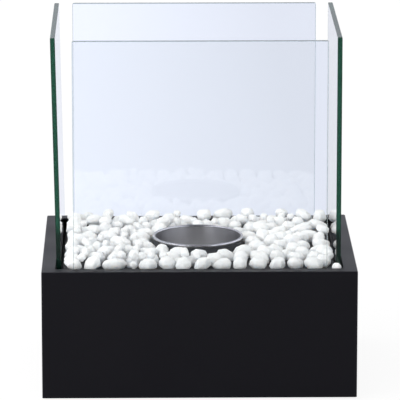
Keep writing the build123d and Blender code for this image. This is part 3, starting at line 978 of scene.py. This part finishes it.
class FireplaceStudio(bpy.types.PropertyGroup):
    """The camera, the lamps and the surroundings"""

    camera_distance: bpy.props.FloatProperty(
        name="Camera distance", description="From the aim point", default=3.2, unit="LENGTH"
    )
    camera_elevation: bpy.props.FloatProperty(
        name="Camera elevation", description="Above the horizon", default=radians(12.97), subtype="ANGLE"
    )
    camera_azimuth: bpy.props.FloatProperty(
        name="Camera azimuth",
        description="To the right of the front",
        default=radians(-0.872),
        subtype="ANGLE",
    )
    camera_aim: bpy.props.FloatVectorProperty(
        name="Camera aim",
        description="Point in the middle of the picture",
        default=(0.00179, 0.0, 0.14647),
        subtype="TRANSLATION",
    )
    camera_lens: bpy.props.FloatProperty(
        name="Lens", description="Focal length in millimetres, on a 36 mm sensor", default=341.15
    )
    key_power: bpy.props.FloatProperty(
        name="Key lamp", description="Soft box above, at the left, in watts", default=0.5
    )
    key_size: bpy.props.FloatProperty(
        name="Key lamp size", description="Side of its square", default=0.3, unit="LENGTH"
    )
    key_place: bpy.props.FloatVectorProperty(
        name="Key lamp place",
        description="Middle of its square",
        default=(-0.34, -0.12, 0.46),
        subtype="TRANSLATION",
    )
    fill_power: bpy.props.FloatProperty(
        name="Fill lamp", description="Soft box in front, at the left, in watts", default=1.2
    )
    fill_size: bpy.props.FloatProperty(
        name="Fill lamp size", description="Side of its square", default=0.5, unit="LENGTH"
    )
    fill_place: bpy.props.FloatVectorProperty(
        name="Fill lamp place",
        description="Middle of its square",
        default=(-0.5, -0.7, 0.3),
        subtype="TRANSLATION",
    )
    sky_left: bpy.props.FloatProperty(
        name="Daylight, left", description="Daylight that comes from the front left", default=2.0
    )
    sky_right: bpy.props.FloatProperty(
        name="Daylight, right", description="Daylight that comes from the back right", default=0.45
    )
    floor_white: bpy.props.FloatProperty(
        name="Floor whiteness", description="Share of the floor that shows plain white", default=0.9
    )
    front_dimness: bpy.props.FloatProperty(
        name="Front dimness", description="How white the room's front looks in reflections", default=0.15
    )
    side_whiteness: bpy.props.FloatProperty(
        name="Side whiteness", description="How white the room's sides look in reflections", default=1.3
    )
    left_share: bpy.props.FloatProperty(
        name="Left side", description="Share of the side whiteness at the left", default=0.95
    )
    right_share: bpy.props.FloatProperty(
        name="Right side", description="Share of the side whiteness at the right", default=1.4
    )
    back_whiteness: bpy.props.FloatProperty(
        name="Back whiteness", description="How white the room's back looks in reflections", default=0.86
    )
    shade_colour: colour_setting("Shade colour", "The wall's colour in glass and reflections", "#eaefff")
    mirror_plainness: bpy.props.FloatProperty(
        name="Mirror plainness", description="Share of plain white in the reflections' colour", default=0.4
    )
    shade_left: bpy.props.FloatProperty(
        name="Left shade", description="Strength of that white at the left", default=1.18
    )
    shade_right: bpy.props.FloatProperty(
        name="Right shade", description="Strength of that white at the right", default=0.97
    )
    shade_reach: bpy.props.FloatProperty(
        name="Shade reach", description="How far the fade goes to either side", default=0.12
    )


# ---- Operators ----


class FIREPLACE_OT_steelwork(bpy.types.Operator):
    """Powder coats the housing, base plate, deck, collar and glass channels"""

    bl_idname = "fireplace.steelwork"
    bl_label = "Powder coat the steelwork"

    def execute(self, context):
        colours = context.scene.fireplace_colours
        grain = context.scene.fireplace_sizes.coat_grain
        coat = powder_coated_steel("powder_coated_steel", colours.powder_coat, grain)
        dress(["housing", "base_plate", "deck"], coat)
        # The collar's coat is a lighter copy of the black coat, painted light for the stones' light that it
        # reflects
        dress(["burner_collar"], powder_coated_steel("powder_coated_collar_painted_light", colours.lit_collar_coat, grain))
        dress([f"glass_channel_{side}" for side in SIDES], coat)
        return {"FINISHED"}


class FIREPLACE_OT_fixings(bpy.types.Operator):
    """Finishes the galvanised rails and the zinc-plated screws"""

    bl_idname = "fireplace.fixings"
    bl_label = "Finish the rails and screws"

    def execute(self, context):
        colours = context.scene.fireplace_colours
        dress([f"support_rail_{side}" for side in SIDES], galvanised_steel(colours.galvanised))
        dress(["base_screws", "deck_screws"], zinc_plated_screw(colours.screw))
        return {"FINISHED"}


class FIREPLACE_OT_rubber(bpy.types.Operator):
    """Finishes the rubber feet and the gaskets round the glass"""

    bl_idname = "fireplace.rubber"
    bl_label = "Finish the feet and gaskets"

    def execute(self, context):
        colours = context.scene.fireplace_colours
        feet = [f"foot_{end}_{side}" for end in ("front", "back") for side in ("left", "right")]
        dress(feet, moulded_rubber("moulded_foot_rubber", colours.rubber, 0.8))
        gasket = moulded_rubber("extruded_silicone_rubber", colours.gasket, 0.6)
        dress([f"glass_gasket_{side}" for side in SIDES], gasket)
        return {"FINISHED"}


class FIREPLACE_OT_burner(bpy.types.Operator):
    """Brushes the burner cup and makes the felt pad in it"""

    bl_idname = "fireplace.burner"
    bl_label = "Finish the burner"

    def execute(self, context):
        colours = context.scene.fireplace_colours
        sizes = context.scene.fireplace_sizes
        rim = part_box("burner_cup")[1].z
        steel = spun_stainless_steel(colours.stainless, sizes.brush_line, rim - sizes.rim_bead, rim)
        dress(["burner_cup"], steel)
        fibre_pad(sizes, ceramic_fibre_felt(colours.felt, sizes.felt_fibre))
        return {"FINISHED"}


class FIREPLACE_OT_glass(bpy.types.Operator):
    """Makes the four panes of float glass clear, with green edges"""

    bl_idname = "fireplace.glass"
    bl_label = "Finish the glass"

    def execute(self, context):
        colours = context.scene.fireplace_colours
        end_glass = float_glass(
            "float_glass_end_panes", (0, 1, 0), colours.glass_end_edge, colours.end_scatter, colours
        )
        side_glass = float_glass(
            "float_glass_side_panes", (1, 0, 0), colours.glass_edge, colours.edge_scatter, colours
        )
        dress(["glass_pane_front", "glass_pane_back"], end_glass)
        dress(["glass_pane_left", "glass_pane_right"], side_glass)
        return {"FINISHED"}


class FIREPLACE_OT_pebbles(bpy.types.Operator):
    """Makes the tumbled marble pebbles in the places of the CAD stones"""

    bl_idname = "fireplace.pebbles"
    bl_label = "Make the pebbles"

    def execute(self, context):
        sizes = context.scene.fireplace_sizes
        marble = tumbled_marble(context.scene.fireplace_colours)
        chips = gap_chips(sizes)
        for node_name, piece_name in {**STONES_PER_SIDE, **CORNER_STONE}.items():
            tumbled_pebbles(node_name, piece_name, chips.get(node_name, []), sizes, marble)
        return {"FINISHED"}


class FIREPLACE_OT_studio(bpy.types.Operator):
    """Sets up the floor, the lamps, the surroundings and the camera"""

    bl_idname = "fireplace.studio"
    bl_label = "Set up the studio"

    def execute(self, context):
        studio = context.scene.fireplace_studio
        pale_floor(studio)
        soft_box("key_lamp", studio.key_place, studio.key_size, studio.key_power)
        soft_box("fill_lamp", studio.fill_place, studio.fill_size, studio.fill_power)
        room_light(studio)
        camera(studio)
        context.scene.view_settings.view_transform = "Standard"
        return {"FINISHED"}


# ---- Panel and registration ----


class FIREPLACE_PT_sidebar(bpy.types.Panel):
    """Lists the steps in their order, with the settings under them"""

    bl_idname = "FIREPLACE_PT_sidebar"
    bl_label = "Tabletop fireplace"
    bl_space_type = "VIEW_3D"
    bl_region_type = "UI"
    bl_category = "Fireplace"

    def draw(self, context):
        for step in STEPS:
            self.layout.operator(step.bl_idname)
        for group in (
            context.scene.fireplace_colours,
            context.scene.fireplace_sizes,
            context.scene.fireplace_studio,
        ):
            box = self.layout.box()
            for name in group.__annotations__:
                box.prop(group, name)


STEPS = (
    FIREPLACE_OT_steelwork,
    FIREPLACE_OT_fixings,
    FIREPLACE_OT_rubber,
    FIREPLACE_OT_burner,
    FIREPLACE_OT_glass,
    FIREPLACE_OT_pebbles,
    FIREPLACE_OT_studio,
)
GROUPS = (FireplaceColours, FireplaceSizes, FireplaceStudio)


def register():
    """Registers the classes and gives the scene its settings."""
    for item in (*GROUPS, *STEPS, FIREPLACE_PT_sidebar):
        bpy.utils.register_class(item)
    bpy.types.Scene.fireplace_colours = bpy.props.PointerProperty(type=FireplaceColours)
    bpy.types.Scene.fireplace_sizes = bpy.props.PointerProperty(type=FireplaceSizes)
    bpy.types.Scene.fireplace_studio = bpy.props.PointerProperty(type=FireplaceStudio)


def unregister():
    """Takes the settings and the classes away again."""
    del bpy.types.Scene.fireplace_studio
    del bpy.types.Scene.fireplace_sizes
    del bpy.types.Scene.fireplace_colours
    for item in reversed((*GROUPS, *STEPS, FIREPLACE_PT_sidebar)):
        bpy.utils.unregister_class(item)


def main():
    """Builds the whole scene."""
    register()
    bpy.ops.fireplace.steelwork()
    bpy.ops.fireplace.fixings()
    bpy.ops.fireplace.rubber()
    bpy.ops.fireplace.burner()
    bpy.ops.fireplace.glass()
    bpy.ops.fireplace.pebbles()
    bpy.ops.fireplace.studio()


if __name__ == "__main__":
    main()
